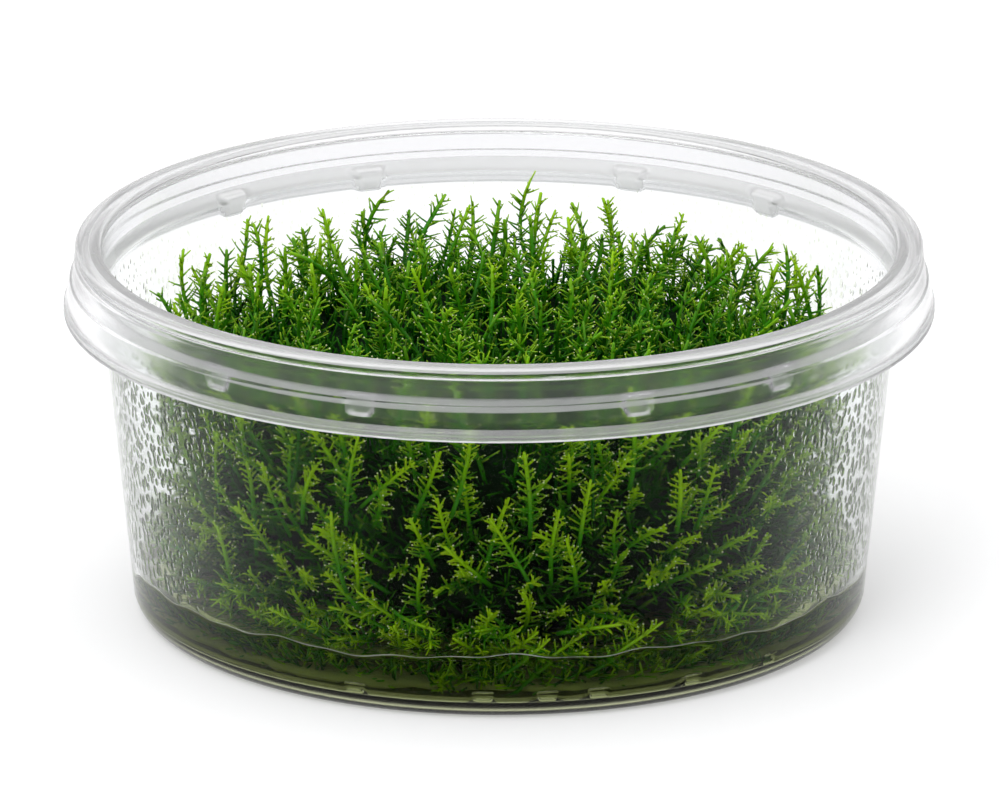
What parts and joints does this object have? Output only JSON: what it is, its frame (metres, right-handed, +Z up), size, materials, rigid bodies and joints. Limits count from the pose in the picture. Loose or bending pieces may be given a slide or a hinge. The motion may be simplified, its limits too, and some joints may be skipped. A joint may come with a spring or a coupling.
{
  "type": "moss clump in a clear culture cup",
  "caption": "Dense clump of upright green moss shoots rooted in clear gel, in an open round clear plastic culture cup with a rolled rim and skirt.",
  "frame": {"origin": "middle of the cup's foot ring, on the surface the cup stands on", "axes": "+Z up along the cup's axis; -Y towards the front, the side that the stacking lugs and vent pads are counted from"},
  "size_m": [0.1036, 0.1036, 0.045],
  "materials": {
    "clear_plastic": "gloss",
    "gel": "gloss",
    "moss": "matte"
  },
  "bodies": {
    "root": {"cup": "clear_plastic", "culture_gel": "gel", "moss_clump": "moss"}
  },
  "joints": []
}
